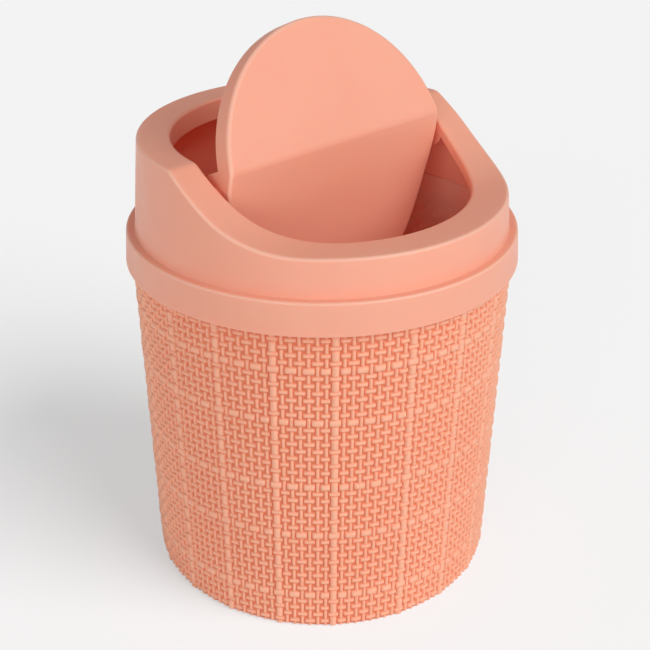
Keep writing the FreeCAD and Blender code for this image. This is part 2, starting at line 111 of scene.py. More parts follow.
class Bench:
    """The modelling steps that every piece is made with."""

    ROUND_STEPS = 5
    BEVEL_STEPS = 3
    SAME_PLACE = 1e-7
    # A face with more sides than this is one of a piece's large ones.
    FEW_SIDES = 8

    @staticmethod
    def clear() -> None:
        """Deselect every object."""
        bpy.ops.object.select_all(action="DESELECT")

    @classmethod
    def take(cls, piece: Piece) -> None:
        """Select a piece alone, and make it the active one."""
        cls.clear()
        piece.select_set(True)
        bpy.context.view_layer.objects.active = piece

    @staticmethod
    @contextmanager
    def editing() -> Iterator[None]:
        """Work on the active piece in edit mode."""
        bpy.ops.object.mode_set(mode="EDIT")
        yield
        bpy.ops.object.mode_set(mode="OBJECT")

    @staticmethod
    def named(name: str) -> Piece:
        """Name the newly added primitive.

        Args:
            name: The piece's name.

        Returns:
            The new object.
        """
        piece = bpy.context.object
        piece.name = name
        piece.data.name = name
        return piece

    @staticmethod
    def places(piece: Piece) -> Array:
        """Read a piece's vertices.

        Args:
            piece: The mesh object.

        Returns:
            One row of coordinates for each vertex.
        """
        found = np.empty(len(piece.data.vertices) * 3)
        piece.data.vertices.foreach_get("co", found)
        return found.reshape(-1, 3)

    @staticmethod
    def put(piece: Piece, places: Array) -> None:
        """Move a piece's vertices to new places, one row of coordinates each."""
        piece.data.vertices.foreach_set("co", np.ascontiguousarray(places, dtype=float).ravel())
        piece.data.update()

    @classmethod
    def shape(cls, piece: Piece, shaper: Shaper) -> None:
        """Move all vertices of a piece by a formula."""
        cls.put(piece, shaper(cls.places(piece)))

    @staticmethod
    def chosen(piece: Piece) -> Array:
        """Find the selected vertices.

        Args:
            piece: The mesh object, in object mode.

        Returns:
            Their indices.
        """
        flags = np.empty(len(piece.data.vertices), dtype=bool)
        piece.data.vertices.foreach_get("select", flags)
        return np.flatnonzero(flags)

    @staticmethod
    def select_edges(piece: Piece, wanted: Array) -> None:
        """Select only those edges whose two vertices are wanted.

        Args:
            piece: The mesh object, in object mode.
            wanted: A flag for each vertex.
        """
        with Bench.editing():
            bpy.ops.mesh.select_mode(type="EDGE")
            bpy.ops.mesh.select_all(action="DESELECT")
        ends = np.empty(len(piece.data.edges) * 2, dtype=np.int32)
        piece.data.edges.foreach_get("vertices", ends)
        flags = wanted[ends.reshape(-1, 2)].all(axis=1)
        piece.data.edges.foreach_set("select", flags)

    @classmethod
    def outline(cls, corners: Sequence[Corner], closed: bool = True) -> Array:
        """Draw an outline with rounded corners.

        Args:
            corners: The corners in order.
            closed: Whether the last corner is joined to the first.

        Returns:
            Rows of distance across and height.
        """
        drawn: list[Array] = []
        for index, corner in enumerate(corners):
            here = np.array((corner.across, corner.up))
            at_end = not closed and index in (0, len(corners) - 1)
            if corner.rounding == 0 or at_end:
                drawn.append(here)
                continue
            before, after = corners[index - 1], corners[(index + 1) % len(corners)]
            back = np.array((before.across, before.up)) - here
            ahead = np.array((after.across, after.up)) - here
            back /= np.linalg.norm(back)
            ahead /= np.linalg.norm(ahead)
            half = math.acos(float(np.clip(back @ ahead, -1, 1))) / 2
            inward = (back + ahead) / np.linalg.norm(back + ahead)
            middle = here + inward * corner.rounding / math.sin(half)
            start = here + back * corner.rounding / math.tan(half) - middle
            end = here + ahead * corner.rounding / math.tan(half) - middle
            sweep = math.pi - 2 * half
            for share in np.linspace(0, 1, cls.ROUND_STEPS + 1):
                first = math.sin((1 - share) * sweep) / math.sin(sweep)
                second = math.sin(share * sweep) / math.sin(sweep)
                drawn.append(middle + start * first + end * second)
        return np.array(drawn)

    @classmethod
    def tidy(cls, piece: Piece) -> None:
        """Merge vertices that share a place and turn all faces outwards.

        Args:
            piece: The mesh object.
        """
        bpy.context.view_layer.objects.active = piece
        with cls.editing():
            bpy.ops.mesh.select_all(action="SELECT")
            bpy.ops.mesh.remove_doubles(threshold=cls.SAME_PLACE)
            bpy.ops.mesh.normals_make_consistent(inside=False)

    @classmethod
    def turned(
        cls,
        name: str,
        profile: Array,
        steps: int,
        start: float = 0.0,
        closed: bool = True,
    ) -> Piece:
        """Spin a profile round the bin's axis.

        Args:
            name: The piece's name.
            profile: Rows of radius and height.
            steps: How many steps a full turn has.
            start: The angle from the front at which the spin starts.
            closed: Whether the profile is a closed outline. The holes that an open one leaves are
                filled.

        Returns:
            The new object.
        """
        cls.clear()
        bpy.ops.mesh.primitive_circle_add(vertices=len(profile), fill_type="NOTHING")
        piece = cls.named(name)
        cls.put(piece, around(np.full(len(profile), start), profile[:, 0], profile[:, 1]))
        if not closed:
            last = np.zeros(len(profile), dtype=bool)
            last[[0, -1]] = True
            cls.select_edges(piece, last)
            with cls.editing():
                bpy.ops.mesh.delete(type="EDGE")
        with cls.editing():
            bpy.ops.mesh.select_mode(type="VERT")
            bpy.ops.mesh.select_all(action="SELECT")
            bpy.ops.mesh.spin(steps=steps, angle=math.tau, center=(0, 0, 0), axis=(0, 0, 1))
            bpy.ops.mesh.select_all(action="SELECT")
            bpy.ops.mesh.remove_doubles(threshold=cls.SAME_PLACE)
            if not closed:
                bpy.ops.mesh.select_all(action="SELECT")
                bpy.ops.mesh.fill_holes(sides=0)
        cls.tidy(piece)
        return piece

    @classmethod
    def lofted(cls, name: str, loops: Sequence[Array], ends: Ends) -> Piece:
        """Extrude a loop of vertices through a row of places.

        Args:
            name: The piece's name.
            loops: For each loop, rows of coordinates, as many in every loop.
            ends: How the piece ends.

        Returns:
            The new object.
        """
        cls.clear()
        bpy.ops.mesh.primitive_circle_add(vertices=len(loops[0]), fill_type=ends.value)
        piece = cls.named(name)
        cls.put(piece, loops[0])
        with cls.editing():
            bpy.ops.mesh.select_all(action="SELECT")
        for before, after in zip(loops, loops[1:]):
            with cls.editing():
                bpy.ops.mesh.extrude_region()
            moved = cls.chosen(piece)
            places = cls.places(piece)
            apart = np.linalg.norm(places[moved][:, None, :] - before[None, :, :], axis=2)
            places[moved] = after[apart.argmin(axis=1)]
            cls.put(piece, places)
        if ends is Ends.JOINED:
            with cls.editing():
                bpy.ops.mesh.select_mode(type="EDGE")
                bpy.ops.mesh.select_all(action="DESELECT")
                bpy.ops.mesh.select_non_manifold()
                bpy.ops.mesh.bridge_edge_loops()
        cls.tidy(piece)
        return piece

    @classmethod
    def cut_across(cls, piece: Piece, stations: Sequence[float]) -> None:
        """Cut a piece's large faces along planes that run from side to side.

        Args:
            piece: The mesh object.
            stations: The Y coordinate of each plane, in order.
        """
        bpy.context.view_layer.objects.active = piece
        with cls.editing():
            bpy.ops.mesh.select_mode(type="FACE")
            for station in stations:
                bpy.ops.mesh.select_face_by_sides(number=cls.FEW_SIDES, type="GREATER", extend=False)
                bpy.ops.mesh.bisect(plane_co=(0, station, 0), plane_no=(0, 1, 0))

    @staticmethod
    def mark(piece: Piece, name: str, values: Array) -> None:
        """Keep a number for each vertex of a piece, in an attribute of that name."""
        layer = piece.data.attributes.new(name, "FLOAT", "POINT")
        layer.data.foreach_set("value", np.ascontiguousarray(values, dtype=np.float32))

    @classmethod
    def paint_edge_highlights(cls, piece: Piece, edges: Sequence[Corner]) -> None:
        """Mark where a turned piece's rounded edges get a painted highlight, most in the middle of
        the rounding.

        Args:
            piece: The mesh object, as it was turned.
            edges: The outline's corners where the edges are.
        """
        places = cls.places(piece)
        radius = np.hypot(places[:, 0], places[:, 1])
        edge_highlight = np.zeros(len(places))
        crest = math.sqrt(2) - 1
        for edge in edges:
            apart = np.hypot(radius - edge.across, places[:, 2] - edge.up) / edge.rounding
            edge_highlight = np.maximum(edge_highlight, np.clip((1 - apart) / (1 - crest), 0, 1))
        cls.mark(piece, PAINTED_EDGE_HIGHLIGHT, edge_highlight)

    @classmethod
    def soften(cls, piece: Piece, angle: float, weighted: bool = True) -> None:
        """Shade a piece smoothly over its soft edges.

        Args:
            piece: The mesh object.
            angle: The least angle, in degrees, of an edge that stays crisp.
            weighted: Whether large faces keep their own shading.
        """
        cls.take(piece)
        bpy.ops.object.shade_smooth_by_angle(angle=math.radians(angle))
        if weighted:
            modifier = piece.modifiers.new("even_shading", "WEIGHTED_NORMAL")
            modifier.keep_sharp = True
            bpy.ops.object.modifier_apply(modifier=modifier.name)

    @classmethod
    def bevel(cls, piece: Piece, width: float, angle: float) -> None:
        """Round a piece's crisp edges.

        Args:
            piece: The mesh object.
            width: The bevel's width.
            angle: The least angle, in degrees, of an edge that is rounded.
        """
        cls.take(piece)
        modifier = piece.modifiers.new("edge_rounding", "BEVEL")
        modifier.width = width
        modifier.segments = cls.BEVEL_STEPS
        modifier.limit_method = "ANGLE"
        modifier.angle_limit = math.radians(angle)
        bpy.ops.object.modifier_apply(modifier=modifier.name)


def around(angle: Array, radius: Array, height: Array) -> Array:
    """Turn angles from the front, radii and heights into rows of coordinates."""
    return np.stack((radius * np.sin(angle), -radius * np.cos(angle), height), axis=-1)


def settle(
    piece: Piece,
    node: Node,
    body: Body,
    finish: "CoralPlastic",
) -> Piece:
    """Dress a piece and tie it to the frame.

    Args:
        piece: The mesh object.
        node: The solid that it stands for.
        body: The body that it rides on.
        finish: The finish.

    Returns:
        The same piece.
    """
    piece.data.materials.clear()
    piece.data.materials.append(finish.material())
    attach(piece, body.value)
    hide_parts(node.value)
    return piece


class NodeGraph:
    """A material's nodes, added one at a time."""

    def __init__(self, name: str) -> None:
        """Start a material with no nodes.

        Args:
            name: The material's name.
        """
        self.material = bpy.data.materials.new(name)
        self.material.use_nodes = True
        self.material.node_tree.nodes.clear()

    def add(
        self,
        kind: str,
        settings: dict[str, object] | None = None,
        **inputs: object,
    ) -> bpy.types.Node:
        """Add a node.

        Args:
            kind: The node's type.
            settings: Its properties.
            **inputs: Values or output sockets for its inputs, with _ for a space in an input's name.

        Returns:
            The new node.
        """
        node = self.material.node_tree.nodes.new(kind)
        for name, value in (settings or {}).items():
            setattr(node, name, value)
        for name, value in inputs.items():
            self.feed(node.inputs[name.replace("_", " ")], value)
        return node

    def feed(self, socket: bpy.types.NodeSocket, value: object) -> None:
        """Give an input its value, or link an output to it.

        Args:
            socket: The input.
            value: A plain value or an output socket.
        """
        if isinstance(value, bpy.types.NodeSocket):
            self.material.node_tree.links.new(value, socket)
        else:
            socket.default_value = value

    def blend(
        self,
        share: bpy.types.NodeSocket,
        first: object,
        second: object,
    ) -> bpy.types.NodeSocket:
        """Mix two colours.

        Args:
            share: How much of the second shows.
            first: A colour or an output socket.
            second: A colour or an output socket.

        Returns:
            The mixed colour's socket.
        """
        node = self.add("ShaderNodeMix", {"data_type": "RGBA"})
        self.feed(node.inputs[0], share)
        self.feed(node.inputs[6], first)
        self.feed(node.inputs[7], second)
        return node.outputs[2]

    def spread(
        self,
        value: bpy.types.NodeSocket,
        source: Range,
        target: Range,
    ) -> bpy.types.NodeSocket:
        """Map a value from one range to another.

        Args:
            value: The value's socket.
            source: The range that it comes in.
            target: The range that it goes to.

        Returns:
            The mapped value's socket.
        """
        node = self.add("ShaderNodeMapRange", Value=value)
        for name, limit in zip(("From Min", "From Max", "To Min", "To Max"), (*source, *target)):
            node.inputs[name].default_value = limit
        return node.outputs["Result"]


@dataclass(frozen=True)
class CoralPlastic:
    """Satin moulded plastic, dyed through, with a fine grain and a faint cloudiness, and optionally
    with painted shade in a weave's recesses and a painted highlight along rounded edges.
    """

    name: str
    main: Colour = (0.97, 0.415, 0.288)
    cloud: Colour = (0.96, 0.395, 0.27)
    # Painted shade: the darker colour given to the weave's recesses.
    painted_recess_shade: Colour = (0.86, 0.275, 0.15)
    # Painted highlight: the paler colour given to the middle of rounded edges.
    edge: Colour = (0.99, 0.53, 0.40)
    woven: bool = False
    edge_highlighted: bool = False
    # How much of the light goes through the plastic, and how far.
    through: float = 0.25
    through_depth: float = 5.0 * MM
    through_colour: Colour = (1.0, 0.25, 0.12)
    gloss: float = 0.45
    smooth: float = 0.38
    rough: float = 0.48
    grain: float = 0.35
    grain_depth: float = 0.02 * MM
    cloud_scale: float = 26.0
    grain_scale: float = 1500.0
    sheen_scale: float = 140.0
    # The part of the noise's range that the clouds and the sheen run over, the part of a weave's
    # height over which the painted recess shade fades, and how much a rounded edge takes of the
    # painted highlight's colour.
    cloud_range: Range = (0.38, 0.62)
    sheen_range: Range = (0.35, 0.65)
    painted_shade_range: Range = (0.05, 0.72)
    edge_highlight_share: float = 0.8

    def material(self) -> bpy.types.Material:
        """Make the material, or find the one that is made already.

        Returns:
            The material.
        """
        made = bpy.data.materials.get(self.name)
        if made:
            return made
        graph = NodeGraph(self.name)
        place = graph.add("ShaderNodeTexCoord").outputs["Object"]
        clouds = graph.add("ShaderNodeTexNoise", Vector=place, Scale=self.cloud_scale, Detail=3.0)
        share = graph.spread(clouds.outputs["Fac"], self.cloud_range, (0.0, 1.0))
        colour = graph.blend(share, (*self.main, 1.0), (*self.cloud, 1.0))
        if self.woven:
            # Painted shade: the weave's low places take the darker recess colour.
            height = graph.add("ShaderNodeAttribute", {"attribute_name": RELIEF}).outputs["Fac"]
            recess_shade = graph.spread(height, self.painted_shade_range, (1.0, 0.0))
            colour = graph.blend(recess_shade, colour, (*self.painted_recess_shade, 1.0))
        if self.edge_highlighted:
            # Painted highlight: the middle of each marked rounded edge takes the paler colour.
            edge_highlight = graph.add("ShaderNodeAttribute", {"attribute_name": PAINTED_EDGE_HIGHLIGHT}).outputs["Fac"]
            share = graph.spread(edge_highlight, (0.0, 1.0), (0.0, self.edge_highlight_share))
            colour = graph.blend(share, colour, (*self.edge, 1.0))
        sheen = graph.add("ShaderNodeTexNoise", Vector=place, Scale=self.sheen_scale, Detail=4.0)
        roughness = graph.spread(sheen.outputs["Fac"], self.sheen_range, (self.smooth, self.rough))
        grain = graph.add("ShaderNodeTexNoise", Vector=place, Scale=self.grain_scale, Detail=2.0)
        bump = graph.add(
            "ShaderNodeBump",
            Strength=self.grain,
            Distance=self.grain_depth,
            Height=grain.outputs["Fac"],
        )
        shader = graph.add(
            "ShaderNodeBsdfPrincipled",
            Base_Color=colour,
            Roughness=roughness,
            Normal=bump.outputs["Normal"],
            Subsurface_Weight=self.through,
            Subsurface_Radius=self.through_colour,
            Subsurface_Scale=self.through_depth,
            Specular_IOR_Level=self.gloss,
        )
        graph.add("ShaderNodeOutputMaterial", Surface=shader.outputs["BSDF"])
        return graph.material


@dataclass(frozen=True)
class TopLine:
    """The line of the bin's top in side view: level, a crease, a fall and a level front."""

    level: float = 155.0 * MM
    front: float = 136.5 * MM
    crease_offset: float = 3.5 * MM
    crease_round: float = 5.0 * MM
    sweep_radius: float = 55.0 * MM
    slope: float = math.radians(33.0)
    crease_steps: int = 7
    sweep_steps: int = 18

    @property
    def crease(self) -> tuple[float, float]:
        """Where the rounded crease begins and ends, from back to front."""
        run = self.crease_round * math.tan(self.slope / 2)
        return self.crease_offset + run, self.crease_offset - run * math.cos(self.slope)

    @property
    def sweep(self) -> tuple[float, float]:
        """Where the hollow sweep begins and ends, from back to front."""
        run = self.sweep_radius * math.tan(self.slope / 2)
        foot = self.crease_offset - (self.level - self.front) / math.tan(self.slope)
        return foot + run * math.cos(self.slope), foot - run

    def height(self, y: Array) -> Array:
        """Give the top's height.

        Args:
            y: Places along the line, the front being negative.

        Returns:
            The height at each place.
        """
        crease_back, crease_front = self.crease
        sweep_back, sweep_front = self.sweep
        fall = self.level - (self.crease_offset - y) * math.tan(self.slope)
        in_crease = np.clip(crease_back - y, 0, crease_back - crease_front)
        crease = self.level - self.crease_round + np.sqrt(self.crease_round ** 2 - in_crease ** 2)
        in_sweep = np.clip(y - sweep_front, 0, sweep_back - sweep_front)
        sweep = self.front + self.sweep_radius - np.sqrt(self.sweep_radius ** 2 - in_sweep ** 2)
        return np.where(y >= crease_front, crease, np.where(y >= sweep_back, fall, sweep))

    def stations(self) -> list[float]:
        """List the places where faces are cut so that they follow the line.

        Returns:
            Their Y coordinates.
        """
        crease = np.linspace(*self.crease, self.crease_steps)
        sweep = np.linspace(*self.sweep, self.sweep_steps)
        return [*crease.tolist(), *sweep.tolist()]


@dataclass(frozen=True)
class Weave:
    """The basket weave of narrow and wide strands that is moulded into the bucket's wall."""

    columns: int = 144
    first_column: float = math.radians(-57.15)
    repeat: int = 72
    wide_columns: tuple[int, ...] = (0, 7, 16, 23, 30, 37, 44, 51, 58, 65)
    # The rows lie a little closer together towards the top.
    row_pitch: float = 2.802 * MM
    row_closing: float = 0.00262 * MM
    first_row: float = 13.27 * MM
    wide_rows: tuple[int, ...] = (0, 9, 16, 25, 32)
    # Half a strand's width, as a share of the pitch.
    narrow_column: float = 0.255
    narrow_row: float = 0.31
    wide: float = 0.46
    # The way on which a strand dips to pass under another, as a share of the pitch.
    upright_dip: float = 0.15
    level_dip: float = 0.20
    # How high a strand runs where it passes under another, as a share of its own height, and how
    # high a narrow strand stands, as a share of a wide one's height.
    upright_under: float = 0.45
    level_under: float = 0.2
    narrow_height: float = 0.78
    # The power that rounds a strand's cross-section: the higher, the flatter its top.
    narrow_flatness: float = 2.2
    wide_flatness: float = 4.0
    # Where the mesh has a line on a strand's shoulder, as a share of half its width.
    shoulder: float = 0.72

    @property
    def column_pitch(self) -> float:
        """The angle from one column to the next."""
        return math.tau / self.columns

    def column_half(self, column: Array) -> Array:
        """Give half the width of columns, as a share of the pitch."""
        is_wide = np.isin(np.mod(column, self.repeat), self.wide_columns)
        return np.where(is_wide, self.wide, self.narrow_column)

    def row_half(self, row: Array) -> Array:
        """Give half the width of rows, as a share of the pitch."""
        return np.where(np.isin(row, self.wide_rows), self.wide, self.narrow_row)

    def height(self, v: Array) -> Array:
        """Give the height of places up the bucket, which are counted in rows."""
        return self.first_row + self.row_pitch * v - self.row_closing * v ** 2

    def row_at(self, height: Array) -> Array:
        """Give the places up the bucket, in rows, of heights."""
        root = np.sqrt(self.row_pitch ** 2 + 4 * self.row_closing * (self.first_row - height))
        return (self.row_pitch - root) / (2 * self.row_closing)

    def rounded(self, apart: Array, half: Array) -> Array:
        """Give a strand's cross-section, low and round if it is narrow, higher and flat if wide.

        Args:
            apart: Distances from its middle.
            half: Half its width.

        Returns:
            Heights from 0 to 1.
        """
        is_wide = half == self.wide
        flatness = np.where(is_wide, self.wide_flatness, self.narrow_flatness)
        section = np.sqrt(1 - np.clip(np.abs(apart) / half, 0, 1) ** flatness)
        return section * np.where(is_wide, 1.0, self.narrow_height)

    @staticmethod
    def ease(value: Array) -> Array:
        """Rise smoothly from 0 to 1 as a value does."""
        held = np.clip(value, 0, 1)
        return held * held * (3 - 2 * held)

    @staticmethod
    def nearest_even(value: Array, other: Array) -> Array:
        """Find the nearest whole numbers that make an even sum with others."""
        odd = np.mod(other, 2)
        return 2 * np.round((value - odd) / 2) + odd

    def relief(self, u: Array, v: Array) -> Array:
        """Give the weave's height.

        Args:
            u: Places round the bucket, in columns.
            v: Places up the bucket, in rows.

        Returns:
            Heights from 0 in the recesses to 1 on the crests.
        """
        column, row = np.round(u), np.round(v)
        crossing_row = self.nearest_even(v, column)
        past_bar = (np.abs(v - crossing_row) - self.row_half(crossing_row)) / self.upright_dip
        lift = self.upright_under + (1 - self.upright_under) * self.ease(past_bar)
        upright = lift * self.rounded(u - column, self.column_half(column))
        crossing_column = self.nearest_even(u, row)
        beyond = crossing_column + np.where(u >= crossing_column, 1, -1)
        to_upright = 1 - self.column_half(beyond) - np.abs(u - crossing_column)
        lift = self.level_under + (1 - self.level_under) * self.ease(to_upright / self.level_dip)
        level = lift * self.rounded(v - row, self.row_half(row))
        return np.maximum(upright, level)

    def lines(self, numbers: Array, halves: Array) -> Array:
        """Place the mesh lines that a row of strands needs.

        Args:
            numbers: The strands' numbers.
            halves: Half their widths.

        Returns:
            The lines' places, from the first strand's start to the last one's end.
        """
        gap = (0.5 + halves) / 2
        shoulder = self.shoulder * halves
        middle = np.zeros_like(halves)
        offsets = (middle - 0.5, -gap, -halves, -shoulder, middle, shoulder, halves, gap)
        return np.append((numbers[:, None] + np.stack(offsets, axis=1)).ravel(), numbers[-1] + 0.5)


@dataclass
class Bucket:
    """The woven bucket: relief panels round a shell with a plain neck, a floor and a foot ring."""

    weave: Weave = field(default_factory=Weave)
    base_radius: float = 60.2 * MM
    shoulder_radius: float = 63.75 * MM
    shoulder_height: float = 115.0 * MM
    neck_radius: float = 63.1 * MM
    neck_inside: float = 61.5 * MM
    rim_height: float = 121.9 * MM
    rim_round: float = 0.45 * MM
    wall_at_floor: float = 2.2 * MM
    floor_top: float = 3.6 * MM
    floor_round: float = 3.0 * MM
    foot_recess: float = 1.2 * MM
    foot_width: float = 5.0 * MM
    foot_round: float = 0.8 * MM
    relief_depth: float = 1.4 * MM
    panel_depth: float = 1.65 * MM
    panels: int = 6
    shell_steps: int = 432
    print_through: float = 0.3 * MM
    print_lines: int = 3
    plain_band: float = 112.0 * MM
    slot: str = "bucket_plastic"

    def outside(self, height: Array) -> Array:
        """Give the wall's radius at the weave's crests, at heights above the base."""
        growth = (self.shoulder_radius - self.base_radius) / self.shoulder_height
        return self.base_radius + growth * height

    def build(self) -> list[Piece]:
        """Make the bucket's pieces.

        Returns:
            The dressed pieces.
        """
        # The weave's colour is lighter than the collar's plastic, as painted light on the weave; its
        # recess colour is painted shade.
        woven = CoralPlastic(
            "woven_coral",
            main=(0.99, 0.49, 0.33),
            cloud=(0.975, 0.465, 0.31),
            woven=True,
            gloss=0.15,
            through=0.1,
            through_depth=1.0 * MM,
        )
        # The shell's colour is lighter than the collar's plastic, as painted light inside the bin.
        plain = CoralPlastic("bucket_coral", main=(0.985, 0.47, 0.34), cloud=(0.975, 0.45, 0.32))
        dressed = []
        for index in range(self.panels):
            dressed.append(settle(self.panel(index), Node.BUCKET, Body.BIN, woven))
        dressed.append(settle(self.shell(), Node.BUCKET, Body.BIN, plain))
        return dressed

    def panel(self, index: int) -> Piece:
        """Make one woven panel of the wall.

        Args:
            index: The panel's number, counted round the bucket.

        Returns:
            The new object.
        """
        weave = self.weave
        count = weave.columns // self.panels
        columns = np.arange(index * count, (index + 1) * count)
        low, high = weave.row_at(np.array((0.0, self.shoulder_height)))
        rows = np.arange(math.floor(low), math.ceil(high) + 1)
        across = weave.lines(columns, weave.column_half(columns))
        upward = weave.lines(rows, weave.row_half(rows))
        upward = np.concatenate(([low], upward[(upward > low) & (upward < high)], [high]))
        Bench.clear()
        cells = len(across) - 1, len(upward) - 1
        bpy.ops.mesh.primitive_grid_add(x_subdivisions=cells[0], y_subdivisions=cells[1], size=1)
        piece = Bench.named(f"woven_panel_{index + 1}")
        flat = Bench.places(piece)
        u = across[np.round((flat[:, 0] + 0.5) * cells[0]).astype(int)]
        v = upward[np.round((flat[:, 1] + 0.5) * cells[1]).astype(int)]
        relief = weave.relief(u, v)
        height = np.clip(weave.height(v), 0, self.shoulder_height)
        angle = weave.first_column + u * weave.column_pitch
        under = np.clip(self.foot_round - height, 0, self.foot_round)
        rolled = self.foot_round - np.sqrt(self.foot_round ** 2 - under ** 2)
        sunk = np.minimum(self.relief_depth * (1 - relief) + rolled, self.relief_depth)
        Bench.put(piece, around(angle, self.outside(height) - sunk, height))
        # The weave's height, which also sets the painted shade in its recesses.
        Bench.mark(piece, RELIEF, relief)
        self.lay_out(piece, flat[:, :2] + 0.5)
        self.back(piece, (v == low) | (v == high))
        Bench.soften(piece, angle=80, weighted=False)
        return piece

    @staticmethod
    def lay_out(piece: Piece, places: Array) -> None:
        """Lay a panel's colours out as its grid is.

        Args:
            piece: The panel.
            places: For each vertex, its place on the map.
        """
        corners = np.empty(len(piece.data.loops), dtype=np.int32)
        piece.data.loops.foreach_get("vertex_index", corners)
        layer = piece.data.uv_layers.new(name=COLOUR_MAP)
        layer.uv.foreach_set("vector", places[corners].astype(np.float32).ravel())

    def back(self, piece: Piece, ends: Array) -> None:
        """Close a panel behind its relief.

        Args:
            piece: The panel.
            ends: A flag for each vertex of the panel's lower and upper edges.
        """
        front = len(ends)
        Bench.select_edges(piece, ends)
        with Bench.editing():
            bpy.ops.mesh.extrude_region()
        places = Bench.places(piece)
        rear = places[front:]
        inward = (self.outside(rear[:, 2]) - self.panel_depth) / np.hypot(rear[:, 0], rear[:, 1])
        places[front:, :2] = rear[:, :2] * inward[:, None]
        Bench.put(piece, places)
        with Bench.editing():
            bpy.ops.mesh.bridge_edge_loops()
            bpy.ops.mesh.select_all(action="SELECT")
            bpy.ops.mesh.fill_holes(sides=0)
        Bench.tidy(piece)

    def shell(self) -> Piece:
        """Make the shell behind the panels, with the neck, the floor and the foot ring.

        Returns:
            The new object.
        """
        weave = self.weave
        foot_inside = self.base_radius - self.foot_width
        outline = Bench.outline((
            Corner(foot_inside - self.foot_width, self.foot_recess),
            Corner(foot_inside, self.foot_recess, self.rim_round),
            Corner(foot_inside, 0.0, self.rim_round),
            Corner(self.base_radius - self.panel_depth, 0.0),
            Corner(self.shoulder_radius - self.panel_depth, self.shoulder_height),
            Corner(self.neck_radius, self.shoulder_height),
            Corner(self.neck_radius, self.rim_height, self.rim_round),
            Corner(self.neck_inside, self.rim_height, self.rim_round),
            Corner(self.base_radius - self.wall_at_floor, self.floor_top, self.floor_round),
            Corner(foot_inside - self.foot_width, self.floor_top),
        ), closed=False)
        on_rim = outline[:, 1] > self.rim_height - 2 * self.rim_round
        wall_top = int(np.flatnonzero(on_rim)[-1])
        upper, lower = outline[wall_top], outline[wall_top + 1]
        steps = int((upper[1] - lower[1]) / weave.row_pitch * self.print_lines)
        wall = np.linspace(upper, lower, steps + 1)[1:-1]
        profile = np.concatenate((outline[:wall_top + 1], wall, outline[wall_top + 1:]))
        piece = Bench.turned(
            "bucket_shell",
            profile,
            self.shell_steps,
            start=weave.first_column,
            closed=False,
        )
        Bench.shape(piece, self.imprint)
        Bench.soften(piece, angle=40)
        return piece

    def imprint(self, places: Array) -> Array:
        """Let the weave show faintly on the inner wall.

        Args:
            places: The shell's vertices.

        Returns:
            Their new places.
        """
        radius = np.hypot(places[:, 0], places[:, 1])
        height = places[:, 2]
        angle = np.arctan2(places[:, 0], -places[:, 1])
        halfway = (self.panel_depth + self.wall_at_floor) / 2
        on_wall = radius < self.outside(height) - halfway
        on_wall &= (height > self.floor_top + self.floor_round) & (height < self.plain_band)
        u = (angle - self.weave.first_column) / self.weave.column_pitch
        v = self.weave.row_at(np.clip(height, 0, self.shoulder_height))
        wave = np.cos(math.pi * u) * np.cos(math.pi * v)
        pushed = radius - np.where(on_wall, self.print_through * wave, 0)
        return around(angle, pushed, height)


